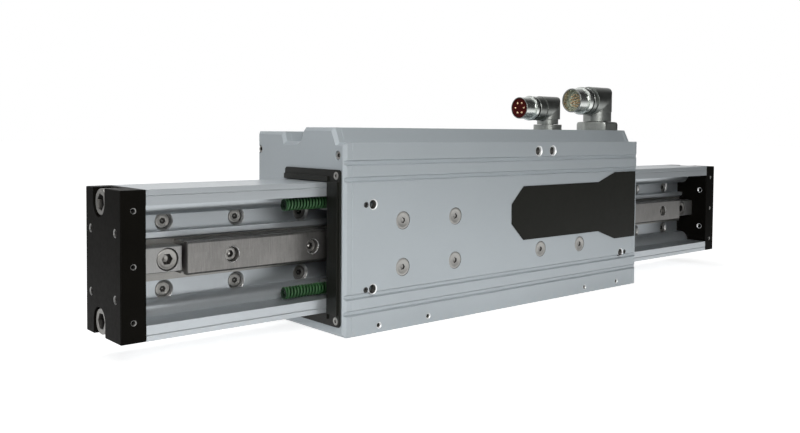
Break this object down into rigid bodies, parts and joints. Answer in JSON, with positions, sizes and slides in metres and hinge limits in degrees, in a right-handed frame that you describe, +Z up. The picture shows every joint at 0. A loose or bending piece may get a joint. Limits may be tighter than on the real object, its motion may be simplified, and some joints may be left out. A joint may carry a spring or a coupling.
{
  "type": "linear motor",
  "caption": "Linear thruster: a long slide with guide rail and magnet track runs through a fixed grey housing with round right-angle connectors and green bumper springs.",
  "frame": {"origin": "centre of the housing's flat underside", "axes": "+X along the slide's travel, from the end nearest the viewer to the far end; +Y from the housing's front face to its rear; +Z up"},
  "size_m": [0.632, 0.1066, 0.1756],
  "materials": {
    "housing_grey": "grey anodised extrusion, satin",
    "anodised_aluminium": "clear anodised extrusion, satin",
    "bare_aluminium": "machined, fine satin",
    "black_anodised": "black anodised plate, satin",
    "black_plastic": "moulded, matt",
    "black_label": "printed film, satin",
    "green_enamel": "enamelled spring wire",
    "zinc_steel": "zinc plated",
    "black_steel": "blackened",
    "rail_steel": "ground and hardened",
    "bearing_steel": "ground",
    "scale_steel": "etched strip",
    "laminated_iron": "laminated and varnished",
    "copper_wire": "enamelled copper wire",
    "magnet_nickel": "nickel plated",
    "nickel": "nickel plated, bright",
    "gold": "gold plated",
    "black_rubber": "moulded, matt",
    "red_plastic": "moulded, semi-gloss",
    "pale_plastic": "moulded, matt"
  },
  "bodies": {
    "housing": {"housing_body": "housing_grey", "end_cap_left": "housing_grey", "end_cap_right": "housing_grey", "end_cap_screws": "zinc_steel", "seal_frame_left": "black_plastic", "seal_frame_right": "black_plastic", "seal_frame_screws": "zinc_steel", "bumper_spring_left_upper": "green_enamel", "bumper_spring_left_lower": "green_enamel", "bumper_spring_right_upper": "green_enamel", "bumper_spring_right_lower": "green_enamel", "spring_seat_left": "bare_aluminium", "spring_seat_right": "bare_aluminium", "label_panel": "black_label", "bearing_block_screws": "zinc_steel", "bearing_block_left": "bearing_steel", "bearing_block_right": "bearing_steel", "bearing_seals_left": "black_plastic", "bearing_seals_right": "black_plastic", "coil_core": "laminated_iron", "coil_windings": "copper_wire", "encoder_head": "black_plastic", "power_base": "nickel", "feedback_base": "nickel"},
    "slide": {"slide_beam": "anodised_aluminium", "end_plate_left": "black_anodised", "end_plate_right": "black_anodised", "end_plate_screws": "zinc_steel", "guide_rail": "rail_steel", "rail_screws": "black_steel", "stop_block_left": "bare_aluminium", "stop_block_right": "bare_aluminium", "stop_block_screws": "zinc_steel", "magnet_plate": "bearing_steel", "magnets": "magnet_nickel", "magnet_plate_screws": "zinc_steel", "encoder_scale": "scale_steel"},
    "power_connector": {"power_elbow": "nickel", "power_o_ring": "black_rubber", "power_sleeve": "nickel", "power_insert": "red_plastic", "power_pins": "gold"},
    "feedback_connector": {"feedback_elbow": "nickel", "feedback_o_ring": "black_rubber", "feedback_sleeve": "nickel", "feedback_insert": "pale_plastic", "feedback_pins": "gold"}
  },
  "joints": [
    {"name": "slide_travel", "type": "slide", "parent": "housing", "child": "slide", "axis": [1, 0, 0], "range_m": [-0.118, 0.098]},
    {"name": "power_connector_turn", "type": "hinge", "parent": "housing", "child": "power_connector", "pos_m": [0.0743, -0.0231, 0.1547], "axis": [0, 0, 1], "range_deg": [-100, 100]},
    {"name": "feedback_connector_turn", "type": "hinge", "parent": "housing", "child": "feedback_connector", "pos_m": [0.1437, -0.0231, 0.1628], "axis": [0, 0, 1], "range_deg": [-100, 100]}
  ]
}
